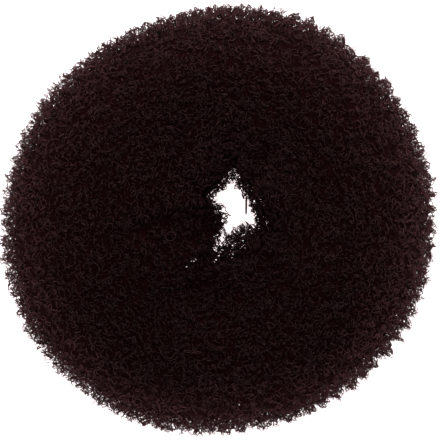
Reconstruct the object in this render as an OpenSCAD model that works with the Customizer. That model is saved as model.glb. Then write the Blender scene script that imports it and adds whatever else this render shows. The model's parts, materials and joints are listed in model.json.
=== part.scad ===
// Hair bun donut: a tube of open knitted mesh rolled over itself into a fat ring.
// Millimetres, +Z up. The ring lies flat with the origin under its middle, and the
// tail of its pinched hole points left and towards the front.

/* [Ring] */
// Width of the ring
ring_d = 90; // [80:1:110]
// Height of the ring where it is fullest
ring_h = 36; // [32:1:40]
// Squareness of the section, 2 for an ellipse and more for a fuller one
fullness = 2.2; // [2:0.1:2.8]
// Depth to which the underside is pressed flat where it rests
rest_flat = 0.8; // [0.7:0.1:1.2]

/* [Hole] */
// Mean radius of the hole where it is tightest
hole_r = 4.5; // [4:0.1:5.5]
// Distance of the hole from the middle of the ring, to the right
hole_x = 3; // [0:0.5:4]
// Distance of the hole from the middle of the ring, to the back
hole_y = 1.6; // [0:0.2:2.4]

/* [Mesh] */
// Thickness of the outer turn of mesh over and under the rolled core
outer_t = 3.4; // [3:0.1:4.4]
// Thickness of the outer turn where the core comes nearest to the hole or the rim
side_t = 1.9; // [1.8:0.1:3]
// Turns of mesh rolled up inside the outer one
core_turns = 5; // [4:1:6]
// Clearance between one turn and the next
turn_gap = 0.3; // [0.2:0.1:0.6]
// Radius of the open channel that the first turn is rolled round
channel_r = 2; // [1:0.25:3]
// Wales of the knitting round the ring, each a rib on its outside
wales = 80; // [60:1:84]
// Height of a rib above the furrows beside it, where it stands proudest
rib_h = 1.4; // [0.4:0.1:1.6]
// Depth of the deepest fold
fold_depth = 2; // [0.5:0.1:2.2]
// Width of a narrow fold, from its middle to its side
fold_w = 1.6; // [1.2:0.1:2.4]

/* [Hidden] */

// Points round one section of the outer mesh, a multiple of four
section_points = 24;
// A furrow and a rib for each wale
stations = 2 * wales;
// Points round one section of the space inside, and sections round the ring
space_points = 20;
space_stations = 48;

// Outline of the ring from above, each row for one direction from its middle
// [direction, radius / half of ring_d, height / ring_h, rib height / rib_h]
AZ = 0;
RADIUS = 1;
HEIGHT = 2;
RIB = 3;
RIM = [
    [0,   0.990, 1.00, 0.8],
    [30,  1.007, 1.00, 1.0],
    [60,  1.017, 1.00, 0.8],
    [90,  0.985, 0.99, 0.5],
    [120, 0.967, 0.98, 0.4],
    [150, 0.982, 0.97, 0.4],
    [180, 0.994, 0.96, 0.4],
    [210, 1.022, 0.95, 0.4],
    [240, 1.002, 0.96, 0.5],
    [270, 0.972, 0.98, 0.6],
    [300, 0.990, 1.00, 1.0],
    [330, 0.989, 1.00, 1.0],
];

// Wall of the hole at mid height, each row for one direction from the hole's middle
// [direction, radius / hole_r]
HOLE = [
    [18,  0.90],
    [45,  0.86],
    [75,  1.10],
    [92,  1.62],
    [110, 1.22],
    [130, 1.13],
    [151, 1.22],
    [168, 0.82],
    [190, 0.62],
    [230, 0.66],
    [249, 1.70],
    [259, 1.25],
    [276, 1.00],
    [300, 0.95],
    [324, 1.05],
    [341, 1.22],
];

// Folds in the upper side, each from a deep end to the end where it dies out. Both ends are
// places from the hole's middle, as shares of half of ring_d
// [deep end x, y, shallow end x, y, width / fold_w, depth / fold_depth]
DEEP = [0, 1];
SHALLOW = [2, 3];
FOLD_WIDTH = 4;
FOLD_DEPTH = 5;
FOLDS = [
    // long crease that leaves the hole to the left
    [-0.11,  0.01, -0.57, -0.12, 1.0, 1.0],
    // slit on from the tail of the hole
    [-0.05, -0.17, -0.29, -0.29, 0.9, 1.0],
    // pocket in front of the slit
    [-0.09, -0.36, -0.28, -0.34, 1.9, 0.8],
    // sunken tongue between the crease and the slit
    [-0.12, -0.10, -0.41, -0.17, 3.0, 0.6],
    // short creases at the back and right corners of the hole
    [ 0.10,  0.16,  0.18,  0.33, 1.0, 0.7],
    [ 0.09, -0.04,  0.24, -0.02, 0.8, 0.5],
    [-0.01,  0.14,  0.01,  0.28, 0.8, 0.5],
];
// Share of a fold's depth that is left at mid height, where the wall of the hole is upright
fold_at_wall = 0.4;
// Share of the hole's distance from the ring's middle by which the core follows it
core_follow = 0.4;

hole_centre = [hole_x, hole_y];

function mix(a, b, t) = a + (b - a) * t;
function eased(t) = (1 - cos(180 * t)) / 2;
function clamped(t) = max(0, min(1, t));
function turned(r, az) = r * [cos(az), sin(az)];

// Value of one column of a table of directions, read smoothly all the way round
function read(table, az, column) =
    let (
        n = len(table),
        place = (az - table[0][AZ] + 360) % 360,
        starts = [for (row = table) row[AZ] - table[0][AZ]],
        i = max([for (k = [0:n - 1]) if (starts[k] <= place) k]),
        next = (i + 1) % n,
        span = (next == 0 ? 360 : starts[next]) - starts[i]
    )
    mix(table[i][column], table[next][column], eased((place - starts[i]) / span));

// Depth of all folds together, in mm, at a place seen from above
function fold_at(place) = max([
    for (fold = FOLDS)
        let (
            half = ring_d / 2,
            deep = hole_centre + half * [fold[DEEP[0]], fold[DEEP[1]]],
            shallow = hole_centre + half * [fold[SHALLOW[0]], fold[SHALLOW[1]]],
            run = shallow - deep,
            along = clamped((place - deep) * run / (run * run)),
            off = norm(place - deep - along * run) / (fold[FOLD_WIDTH] * fold_w)
        )
        fold[FOLD_DEPTH] * fold_depth * exp(-off * off) * (1 - along * along)
]);

function power(x, p) = sign(x) * pow(abs(x), p);
function side_of(x) = abs(x) < 0.001 ? 0 : sign(x);

// Wall of the hole and edge of the rim at mid height, seen from above
function hole_edge(az) = hole_centre + turned(hole_r * read(HOLE, az, RADIUS), az);
function rim_edge(az) = turned(ring_d / 2 * read(RIM, az, RADIUS), az);

// Point of the skin in direction az of the ring, at angle sec round its section,
// where 0 is the outside, 90 the top and 180 the wall of the hole
function skin_point(az, sec, rib) =
    let (
        inner = hole_edge(az),
        outer = rim_edge(az),
        high = ring_h * read(RIM, az, HEIGHT),
        middle = (inner + outer) / 2,
        half_h = (high + rest_flat) / 2,
        across = power(cos(sec), 2 / fullness),
        up = power(sin(sec), 2 / fullness),
        place = middle + (outer - inner) / 2 * across,
        raised = rib * rib_h / 2 * read(RIM, az, RIB) * max(0, cos(sec)),
        sunk = fold_at(place) * clamped(fold_at_wall + sin(sec)),
        reach = norm([norm(place - middle), half_h * up]),
        grown = 1 + (raised - sunk) / reach,
        flat = middle + (place - middle) * grown
    )
    [flat[0], flat[1], max(0, half_h * (1 + up * grown) - rest_flat)];

skin_points = [
    for (i = [0:stations - 1], j = [0:section_points - 1])
        skin_point(360 * i / stations, 360 * j / section_points, i % 2 == 0 ? 1 : -1)
];

// Middle of the skin seen from above, moved to the origin
skin_x = [for (p = skin_points) p[0]];
skin_y = [for (p = skin_points) p[1]];
skin_middle = [max(skin_x) + min(skin_x), max(skin_y) + min(skin_y), 0] / 2;

// Ring-shaped space under the outer turn: as far from the hole and the rim as side_t,
// and as far from the top and the underside as outer_t
core_centre = core_follow * hole_centre;
directions = [for (i = [0:stations - 1]) 360 * i / stations];
space_from = max([for (az = directions) norm(hole_edge(az) - core_centre)]) + side_t;
space_to = min([for (az = directions) norm(rim_edge(az) - core_centre)]) - side_t;
space_w = (space_to - space_from) / 2;
lowest = ring_h * min([for (row = RIM) row[HEIGHT]]);
space_h = lowest / 2 - outer_t;

// The core fills that space: round ends of this radius, joined by straight runs
core_ring_r = (space_to + space_from) / 2;
core_r = min(space_w, space_h) - turn_gap;
core_run = max(0, space_w - space_h);
turn_t = (core_r - channel_r - (core_turns - 1) * turn_gap) / core_turns;
turn_pitch = turn_t + turn_gap;

// The space is a ring of flat facets, whose middles are the gap away from the core
space_r = (core_r + turn_gap) / cos(180 / space_points);
space_widening = 1 / cos(180 / space_stations);

// Points of the space, about its own centre
space_rim = [
    for (i = [0:space_stations - 1], j = [0:space_points - 1])
        let (
            sec = 360 * j / space_points,
            out = core_ring_r + core_run * side_of(cos(sec)) + space_r * cos(sec),
            flat = turned(out * space_widening, 360 * i / space_stations)
        )
        [flat[0], flat[1], space_r * sin(sec)]
];

// Closed skin over sections of m points each, n of them round the ring
module ring_skin(points, n, m) {
    polyhedron(
        points = points,
        faces = [
            for (i = [0:n - 1], j = [0:m - 1])
                let (
                    next_i = (i + 1) % n,
                    next_j = (j + 1) % m,
                    a = i * m + j,
                    b = next_i * m + j,
                    c = next_i * m + next_j,
                    d = i * m + next_j
                )
                each [[a, c, b], [a, d, c]]
        ],
        convexity = 6
    );
}

// Place of the core's middle line
module at_core() {
    translate([core_centre[0], core_centre[1], lowest / 2])
        children();
}

// Section of one solid turn out to radius r, with straight runs between its round ends
module turn_area(r) {
    for (side = [-1, 1])
        translate([side * core_run, 0])
            circle(r = r, $fn = 96);
    if (core_run > 0)
        square([2 * core_run, 2 * r], center = true);
}

// Half of a band of mesh whose outside is at radius r, above the X axis or below it
module half_band(r, above) {
    reach = 2 * (core_r + core_run);
    intersection() {
        difference() {
            turn_area(r);
            turn_area(r - turn_t);
        }
        translate([-reach, above ? 0 : -reach])
            square([2 * reach, reach]);
    }
}

// The roll seen end on: half bands on two centres, each half a turn wider than the last.
// Its lower side ends half a pitch short of a full turn, so it sits that much off centre.
module rolled_section() {
    translate([0, -turn_pitch / 4])
        for (k = [0:core_turns - 1]) {
            r = core_r - k * turn_pitch;
            half_band(r, true);
            if (k > 0)
                translate([turn_pitch / 2, 0])
                    half_band(r + turn_pitch / 2, false);
        }
}

module outer_mesh() {
    color([0.10, 0.06, 0.06])
        translate(-skin_middle)
            difference() {
                ring_skin(skin_points, stations, section_points);
                at_core() ring_skin(space_rim, space_stations, space_points);
            }
}

module rolled_core() {
    color([0.07, 0.04, 0.04])
        translate(-skin_middle)
            at_core()
                rotate_extrude($fn = 96)
                    translate([core_ring_r, 0])
                        rolled_section();
}

outer_mesh();
rolled_core();
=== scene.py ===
"""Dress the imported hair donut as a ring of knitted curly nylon, lying on a pale floor."""

import json
import logging
import math
from dataclasses import dataclass, field
from enum import Enum

import bpy
import numpy as np
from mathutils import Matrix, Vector

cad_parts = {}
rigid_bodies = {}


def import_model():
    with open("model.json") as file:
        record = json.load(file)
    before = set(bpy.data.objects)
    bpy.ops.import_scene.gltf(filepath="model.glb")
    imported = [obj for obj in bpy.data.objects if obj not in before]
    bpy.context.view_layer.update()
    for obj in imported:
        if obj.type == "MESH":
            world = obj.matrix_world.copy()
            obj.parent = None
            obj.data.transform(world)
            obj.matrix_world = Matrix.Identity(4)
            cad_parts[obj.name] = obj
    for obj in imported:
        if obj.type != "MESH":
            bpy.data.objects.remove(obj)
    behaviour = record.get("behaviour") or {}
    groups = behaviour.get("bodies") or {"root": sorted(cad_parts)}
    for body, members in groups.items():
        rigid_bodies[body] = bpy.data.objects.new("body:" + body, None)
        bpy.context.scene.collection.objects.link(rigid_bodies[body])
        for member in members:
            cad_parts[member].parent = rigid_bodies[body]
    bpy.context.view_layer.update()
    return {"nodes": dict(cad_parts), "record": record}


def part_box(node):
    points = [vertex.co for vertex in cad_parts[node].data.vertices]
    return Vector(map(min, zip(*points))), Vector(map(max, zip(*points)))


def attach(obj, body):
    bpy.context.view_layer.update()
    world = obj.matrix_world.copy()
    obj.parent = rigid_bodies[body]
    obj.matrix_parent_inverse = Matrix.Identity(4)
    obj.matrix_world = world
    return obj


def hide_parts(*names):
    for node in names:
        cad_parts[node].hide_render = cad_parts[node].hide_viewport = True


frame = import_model()

MM = 0.001
TINY = 1e-12
BODY = "root"
BAKE_MAP = "OFBake"
LOG = logging.getLogger("hair_donut")

# Names of the values that a piece's vertices carry for its material.
SHADE = "curl_shade"
# The painted light and shade: light painted on the thin rim and by the hole, shade painted in the folds.
PAINTED_LIGHT = "painted_light_and_shade"
OPEN = "knit_open"

# Short names for the types of fields, pieces and sockets.
Pair = tuple[float, float]
Triple = tuple[float, float, float]
Table = tuple[tuple[float, ...], ...]
Piece = bpy.types.Object
Socket = bpy.types.NodeSocket
SocketTypes = tuple[tuple[str, str], ...]
Outputs = bpy.types.bpy_prop_collection
Drawn = dict[str, Socket]


@dataclass(frozen=True)
class Belt:
    """A belt of the ring's skin with its own density and depth of yarn.

    The way round the section starts in the middle of the underside, passes the rim, the crown and
    the hole, and ends where it started.

    Attributes:
        title: the belt's name.
        start: share of that way where it starts.
        end: share of that way where it ends.
        gap: way from one course to the next.
        lift: least and most height of a curl's middle over the skin.
        crowding: how strongly the heights crowd at the low end.
        thickness: radius of the filament.
    """

    title: str
    start: float
    end: float
    gap: float
    lift: Pair
    crowding: float
    thickness: float


class Zone(Belt, Enum):
    """The belts, in the order in which they are knitted."""

    UNDER = ("under", 0.84, 1.17, 2.0 * MM, (-1.1 * MM, -0.3 * MM), 1.0, 0.135 * MM)
    RIM_LOW = ("rim_low", 0.17, 0.27, 1.45 * MM, (-2.0 * MM, 0.72 * MM), 1.25, 0.105 * MM)
    RIM_HIGH = ("rim_high", 0.27, 0.37, 1.3 * MM, (-1.9 * MM, 0.5 * MM), 1.2, 0.105 * MM)
    SHOULDER = ("shoulder", 0.37, 0.50, 0.95 * MM, (-1.5 * MM, -0.2 * MM), 1.0, 0.13 * MM)
    CROWN = ("crown", 0.50, 0.66, 0.95 * MM, (-1.5 * MM, -0.2 * MM), 1.0, 0.13 * MM)
    HOLE = ("hole", 0.66, 0.84, 1.3 * MM, (-1.8 * MM, 0.7 * MM), 1.4, 0.11 * MM)


@dataclass(frozen=True)
class Scatter:
    """A lot of single loops that stand out of the courses.

    Attributes:
        title: the lot's name.
        count: how many loops it holds.
        start: share of the way round the section where they start.
        end: share of that way where they end.
        length: least and most half length.
        width: least and most width, as a share of the length.
        lift: least and most height of the middle over the skin.
        upright: whether the loops stand up instead of lying flat.
    """

    title: str
    count: int
    start: float
    end: float
    length: Pair
    width: Pair
    lift: Pair
    upright: bool


class LoopKind(Scatter, Enum):
    """The kinds of loop, in the order in which they are made."""

    TOP = ("top", 4450, 0.31, 0.68, (0.32 * MM, 0.80 * MM), (0.25, 0.85), (-0.9 * MM, -0.1 * MM), False)
    RIM = ("rim", 4100, 0.18, 0.34, (0.32 * MM, 0.78 * MM), (0.12, 0.6), (-0.8 * MM, 0.6 * MM), True)
    HOLE = ("hole", 560, 0.68, 0.82, (0.30 * MM, 0.75 * MM), (0.15, 0.6), (-1.2 * MM, 0.5 * MM), True)
    UNDER = ("under", 1150, 0.84, 1.20, (0.28 * MM, 0.66 * MM), (0.25, 0.85), (-0.9 * MM, -0.5 * MM), False)


def clear_selection() -> None:
    """Deselect every object."""
    bpy.ops.object.select_all(action="DESELECT")


def make_active(piece: Piece) -> None:
    """Select one object alone and make it the active one.

    Args:
        piece: the object.
    """
    clear_selection()
    piece.select_set(True)
    bpy.context.view_layer.objects.active = piece


def settle(piece: Piece, name: str) -> Piece:
    """Name a piece and put its place into its mesh.

    Args:
        piece: the object to settle.
        name: the piece's name.

    Returns:
        The same object, at the origin, unturned and unscaled.
    """
    piece.name = name
    piece.data.name = name
    make_active(piece)
    bpy.ops.object.transform_apply(location=True, rotation=True, scale=True)
    return piece


def add_modifier(piece: Piece, kind: str, **settings: object) -> None:
    """Add a modifier to a piece and apply it.

    Args:
        piece: the object to change.
        kind: the modifier's type, such as "SMOOTH".
        **settings: values of the modifier's own properties.
    """
    make_active(piece)
    modifier = piece.modifiers.new(kind.lower(), kind)
    for key, value in settings.items():
        setattr(modifier, key, value)
    bpy.ops.object.modifier_apply(modifier=modifier.name)


def clipped(values: np.ndarray, slope: float = 1.0, start: float = 0.0) -> np.ndarray:
    """Scale values by a slope, add a start to them, and keep them from 0 to 1."""
    return np.clip(start + slope * values, 0, 1)


def eased(share: np.ndarray) -> np.ndarray:
    """Ease shares from 0 to 1, so that they leave 0 and reach 1 slowly."""
    return share * share * (3 - 2 * share)


def smooth_steps(values: np.ndarray, at: np.ndarray) -> np.ndarray:
    """Read a closed row of values at any place on it, with an eased step from each to the next.

    Args:
        values: the row's values, at places 0, 1, 2 and so on.
        at: the places to read, which may lie beyond the row's end.

    Returns:
        The values at those places.
    """
    low = np.floor(at).astype(int)
    share = eased(at - low)
    n = len(values)
    return values[low % n] * (1 - share) + values[(low + 1) % n] * share


def unit(vectors: np.ndarray) -> np.ndarray:
    """Scale each vector of an array to a length of one."""
    return vectors / np.maximum(np.linalg.norm(vectors, axis=-1, keepdims=True), TINY)


def run(points: np.ndarray, axis: int) -> np.ndarray:
    """Way from the point before to the point after, at each point of closed rows along an axis."""
    return np.roll(points, -1, axis=axis) - np.roll(points, 1, axis=axis)


def facing(normal: np.ndarray, away: np.ndarray) -> np.ndarray:
    """How far directions point the way of level vectors: 1 along them, -1 against them, 0 upright."""
    return (normal[:, :2] * unit(away[:, :2])).sum(1)


@dataclass(frozen=True)
class Spots:
    """Places on the ring's skin.

    Attributes:
        place: the places in metres, one row each.
        normal: the skin's outward directions there.
    """

    place: np.ndarray
    normal: np.ndarray

    def raised(self, height: np.ndarray) -> np.ndarray:
        """Places that lie so high over the skin."""
        return self.place + height[:, None] * self.normal

    def outward(self) -> np.ndarray:
        """How far the skin faces away from the ring's middle: 1 at the rim, and -1 in the hole."""
        return facing(self.normal, self.place)


def mesh_of(name: str, places: np.ndarray, faces: np.ndarray) -> Piece:
    """Make a smooth-shaded object from arrays.

    Args:
        name: the piece's name.
        places: vertex places, one row each.
        faces: the four vertices of each face, one row each.

    Returns:
        The object, linked to the scene.
    """
    mesh = bpy.data.meshes.new(name)
    mesh.vertices.add(len(places))
    mesh.vertices.foreach_set("co", places.astype(np.float32).ravel())
    mesh.loops.add(faces.size)
    mesh.loops.foreach_set("vertex_index", faces.astype(np.int32).ravel())
    mesh.polygons.add(len(faces))
    mesh.polygons.foreach_set("loop_start", np.arange(0, faces.size, 4, dtype=np.int32))
    mesh.polygons.foreach_set("use_smooth", np.ones(len(faces), bool))
    mesh.update(calc_edges=True)
    piece = bpy.data.objects.new(name, mesh)
    bpy.context.scene.collection.objects.link(piece)
    return piece


def tell(piece: Piece, name: str, values: np.ndarray) -> None:
    """Write one value for each vertex of a piece, under an attribute's name."""
    attribute = piece.data.attributes.new(name, "FLOAT", "POINT")
    attribute.data.foreach_set("value", values.astype(np.float32))


def tube_faces(lengths: int, sides: int) -> np.ndarray:
    """Number the faces of a closed loop of tube, whose vertices run round its section first.

    Args:
        lengths: vertices along the loop.
        sides: vertices round its section.

    Returns:
        The four vertices of each face, one row each, facing outwards.
    """
    i = np.arange(lengths)[:, None]
    k = np.arange(sides)[None, :]
    i2, k2 = (i + 1) % lengths, (k + 1) % sides
    return np.stack([i * sides + k, i * sides + k2, i2 * sides + k2, i2 * sides + k], -1).reshape(-1, 4)


def lay_map(mesh: bpy.types.Mesh, sides: int) -> None:
    """Lay the tubes of a mesh out in strips on a square map, one cell for each length of tube.

    Args:
        mesh: the mesh, whose faces run round each tube's section first.
        sides: sides of its tubes.
    """
    faces = len(mesh.polygons)
    columns = math.ceil(math.sqrt(faces // sides))
    number, side = np.arange(faces) // sides, np.arange(faces) % sides
    left = (number % columns) / columns
    low = (number // columns + side / sides) / columns
    wide, high = 1 / columns, 1 / columns / sides
    corners = ((0, 0), (0, high), (wide, high), (wide, 0))
    layer = mesh.uv_layers.new(name=BAKE_MAP)
    places = np.stack([np.stack([left + x, low + y], -1) for x, y in corners], 1)
    layer.uv.foreach_set("vector", places.astype(np.float32).ravel())


@dataclass
class Filament:
    """Closed loops of filament, all of one number of points.

    Attributes:
        points: the loops' points, by loop and by place along it.
        axis: a direction at each point that isn't along the loop, from which its tube starts.
        thickness: radius of the filament at each point.
        shade: the curl's own shade at each point.
        light: the light and shade painted on the knit at each point.
    """

    points: np.ndarray
    axis: np.ndarray
    thickness: np.ndarray
    shade: np.ndarray
    light: np.ndarray

    def tube(self, sides: int) -> np.ndarray:
        """Lay vertices round the filament.

        Args:
            sides: vertices round its section.

        Returns:
            Their places, one row each, round the section first.
        """
        ahead = unit(run(self.points, 1))
        one = unit(self.axis - (self.axis * ahead).sum(-1, keepdims=True) * ahead)
        two = np.cross(ahead, one)
        around = (np.arange(sides) * 2 * math.pi / sides)[:, None]
        ring = np.cos(around) * one[:, :, None] + np.sin(around) * two[:, :, None]
        return (self.points[:, :, None] + self.thickness[:, :, None, None] * ring).reshape(-1, 3)


def spin(name: str, filaments: list[Filament], sides: int, lowest: float) -> Piece:
    """Make one piece of filaments.

    Args:
        name: the piece's name.
        filaments: its filaments.
        sides: sides of their tubes.
        lowest: least height of their vertices.

    Returns:
        The piece, with each vertex's shade and painted light, and a map to bake on.
    """
    faces, base = [], 0
    for filament in filaments:
        loops, steps = filament.points.shape[:2]
        first = base + steps * sides * np.arange(loops)
        faces.append((first[:, None, None] + tube_faces(steps, sides)).reshape(-1, 4))
        base += loops * steps * sides
    tubes = np.concatenate([filament.tube(sides) for filament in filaments])
    tubes[:, 2] = np.maximum(tubes[:, 2], lowest)
    piece = mesh_of(name, tubes, np.concatenate(faces))
    tell(piece, SHADE, np.concatenate([filament.shade.repeat(sides) for filament in filaments]))
    tell(piece, PAINTED_LIGHT, np.concatenate([filament.light.repeat(sides) for filament in filaments]))
    lay_map(piece.data, sides)
    return piece


@dataclass(frozen=True)
class Wiring:
    """Adds nodes to a node tree and links them in one call.

    Attributes:
        tree: the tree to add to.
    """

    tree: bpy.types.NodeTree

    def put(self, socket: Socket, value: object) -> None:
        """Link an input to an output, or set it to a plain value.

        Args:
            socket: the input.
            value: the output, or the value.
        """
        if isinstance(value, Socket):
            self.tree.links.new(value, socket)
        else:
            socket.default_value = value

    def node(self, kind: str, **inputs: object) -> bpy.types.Node:
        """Add a node.

        Args:
            kind: the node's type without its "ShaderNode".
            **inputs: links or values for its inputs, by their names with _ for a space.

        Returns:
            The node.
        """
        node = self.tree.nodes.new("ShaderNode" + kind)
        for title, value in inputs.items():
            self.put(node.inputs[title.replace("_", " ")], value)
        return node

    def math(self, operation: str, *values: object, kind: str = "Math") -> Socket:
        """Add a Math node, or a VectorMath one.

        Args:
            operation: what it works out.
            *values: links or values for its inputs, in their order.
            kind: the node's type.

        Returns:
            Its result.
        """
        node = self.node(kind)
        node.operation = operation
        for socket, value in zip(node.inputs, values):
            self.put(socket, value)
        return node.outputs[0]

    def span(self, value: Socket, low: float, high: float) -> Socket:
        """Spread a value from 0 to 1 over another range."""
        return self.node("MapRange", Value=value, To_Min=low, To_Max=high).outputs["Result"]

    def blend(self, share: Socket, one: object, two: object) -> Socket:
        """Blend two colours, each a link or a linear red, green and blue."""
        one, two = (c if isinstance(c, Socket) else (*c, 1) for c in (one, two))
        return self.node("MixRGB", Fac=share, Color1=one, Color2=two).outputs["Color"]

    def read(self, name: str) -> Socket:
        """Read one of the values that the piece's vertices carry.

        Args:
            name: its name.

        Returns:
            The value.
        """
        node = self.node("Attribute")
        node.attribute_name = name
        return node.outputs["Fac"]

    def place(self) -> Socket:
        """Read the place on the object."""
        return self.node("TexCoord").outputs["Object"]

    def use(self, group: bpy.types.NodeTree, **inputs: object) -> bpy.types.Node:
        """Add a node that uses a shader group.

        Args:
            group: the group.
            **inputs: links or values for its inputs, by their names.

        Returns:
            The node.
        """
        node = self.node("Group")
        node.node_tree = group
        for title, value in inputs.items():
            self.put(node.inputs[title], value)
        return node


@dataclass(frozen=True)
class SharedEffect:
    """A shader group that several materials use, built once.

    Attributes:
        name: the group's name.
        takes: its inputs' names and socket types.
        gives: its outputs' names and socket types.
    """

    name: str
    takes: SocketTypes
    gives: SocketTypes

    def group(self) -> bpy.types.NodeTree:
        """Find the group, or build it.

        Returns:
            The node group.
        """
        if self.name in bpy.data.node_groups:
            return bpy.data.node_groups[self.name]
        tree = bpy.data.node_groups.new(self.name, "ShaderNodeTree")
        for way, sockets in (("INPUT", self.takes), ("OUTPUT", self.gives)):
            for title, kind in sockets:
                tree.interface.new_socket(title, in_out=way, socket_type="NodeSocket" + kind)
        given, out = tree.nodes.new("NodeGroupInput"), tree.nodes.new("NodeGroupOutput")
        for title, socket in self.draw(Wiring(tree), given.outputs).items():
            tree.links.new(socket, out.inputs[title])
        return tree

    def draw(self, wiring: Wiring, given: Outputs) -> Drawn:
        """Wire the effect, each kind in its own way.

        Args:
            wiring: the group's wiring.
            given: the group's inputs.

        Returns:
            The group's outputs, by name.
        """
        raise NotImplementedError


@dataclass(frozen=True)
class CurlyTexture(SharedEffect):
    """Curls drawn as small bent rings, for surfaces seen through the yarn.

    Line is a mask, from 0 in a gap to 1 on a filament, and Mottle is a slow pattern.

    Attributes:
        warp: how far the rings are bent, in metres.
        ring: radius of a ring, as a share of its cell.
        half_line: half the width of its line, as a share of its cell.
        faintest: brightness of the faintest rings.
        second: scale of the second layer of rings, as a share of the first's.
        mottle: scale and detail of the slow pattern.
    """

    name: str = "curly_lines"
    takes: SocketTypes = (("Scale", "Float"),)
    gives: SocketTypes = (("Line", "Float"), ("Mottle", "Float"))
    warp: float = 0.7 * MM
    ring: float = 0.36
    half_line: float = 0.16
    faintest: float = 0.25
    second: float = 1.35
    mottle: Pair = (120.0, 2.0)

    def rings(
        self, wiring: Wiring, place: Socket, scale: Socket
    ) -> Socket:
        """Draw one layer of rings, each as bright as its cell's own random value.

        Args:
            wiring: the group's wiring.
            place: the place to read.
            scale: how many cells a metre holds.

        Returns:
            The layer's mask.
        """
        cells = wiring.node("TexVoronoi", Vector=place, Scale=scale)
        away = wiring.math("ABSOLUTE", wiring.math("SUBTRACT", cells.outputs["Distance"], self.ring))
        line = wiring.node("MapRange", Value=away, From_Max=self.half_line, To_Min=1.0, To_Max=0.0)
        line.interpolation_type = "SMOOTHSTEP"
        own = wiring.node("SeparateColor", Color=cells.outputs["Color"]).outputs[0]
        return wiring.math("MULTIPLY", line.outputs["Result"], wiring.span(own, self.faintest, 1.0))

    def draw(self, wiring: Wiring, given: Outputs) -> Drawn:
        """Draw two layers of bent rings and the mottle.

        Args:
            wiring: the group's wiring.
            given: the group's inputs.

        Returns:
            The group's outputs, by name.
        """
        place, scale = wiring.place(), given["Scale"]
        noise = wiring.node("TexNoise", Vector=place, Scale=scale, Detail=0.0)
        off = wiring.math("SUBTRACT", noise.outputs["Color"], (0.5, 0.5, 0.5), kind="VectorMath")
        bent = wiring.math("MULTIPLY_ADD", off, (self.warp,) * 3, place, kind="VectorMath")
        finer = wiring.math("MULTIPLY", scale, self.second)
        line = wiring.math("MAXIMUM", self.rings(wiring, bent, scale), self.rings(wiring, bent, finer))
        coarse, detail = self.mottle
        slow = wiring.node("TexNoise", Vector=place, Scale=coarse, Detail=detail)
        return {"Line": line, "Mottle": slow.outputs["Fac"]}


@dataclass(frozen=True)
class PaintedLightAndShade(SharedEffect):
    """Painted light and shade: a lighter colour painted on the knit's thin edge, and a darker one in its
    folds.

    Light is the painted light, above 0 where the knit is thin, and below 0 in a fold, where it is painted
    shade.

    Attributes:
        glow: linear colour painted on the knit's thin edge, as light coming through it.
        fold: linear colour painted at the bottom of the deepest fold, as its shade.
    """

    name: str = "painted_light_and_shade_colour"
    takes: SocketTypes = (("Color", "Color"), ("Light", "Float"))
    gives: SocketTypes = (("Color", "Color"),)
    glow: Triple = (0.108, 0.038, 0.041)
    fold: Triple = (0.006, 0.0006, 0.0006)

    def draw(self, wiring: Wiring, given: Outputs) -> Drawn:
        """Blend the painted light in where Light is above 0, and the fold's painted shade where it is
        below.

        Args:
            wiring: the group's wiring.
            given: the group's inputs.

        Returns:
            The group's outputs, by name.
        """
        colour = given["Color"]
        for sign, tint in ((1.0, self.glow), (-1.0, self.fold)):
            part = wiring.math("MULTIPLY", given["Light"], sign)
            part.node.use_clamp = True
            colour = wiring.blend(part, colour, tint)
        return {"Color": colour}


@dataclass(frozen=True)
class OpenStitches(SharedEffect):
    """Small gaps that open a knit, for an Alpha.

    Open is the share of gaps. Solid is 0 in a gap and 1 beside it.

    Attributes:
        scale: how many cells a metre holds, each open or solid as a whole.
    """

    name: str = "open_stitches"
    takes: SocketTypes = (("Open", "Float"),)
    gives: SocketTypes = (("Solid", "Float"),)
    scale: float = 4200.0

    def draw(self, wiring: Wiring, given: Outputs) -> Drawn:
        """Open each cell whose own random value is below the share.

        Args:
            wiring: the group's wiring.
            given: the group's inputs.

        Returns:
            The group's outputs, by name.
        """
        cells = wiring.node("TexVoronoi", Vector=wiring.place(), Scale=self.scale)
        own = wiring.node("SeparateColor", Color=cells.outputs["Color"]).outputs[0]
        return {"Solid": wiring.math("GREATER_THAN", own, given["Open"])}


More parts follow.
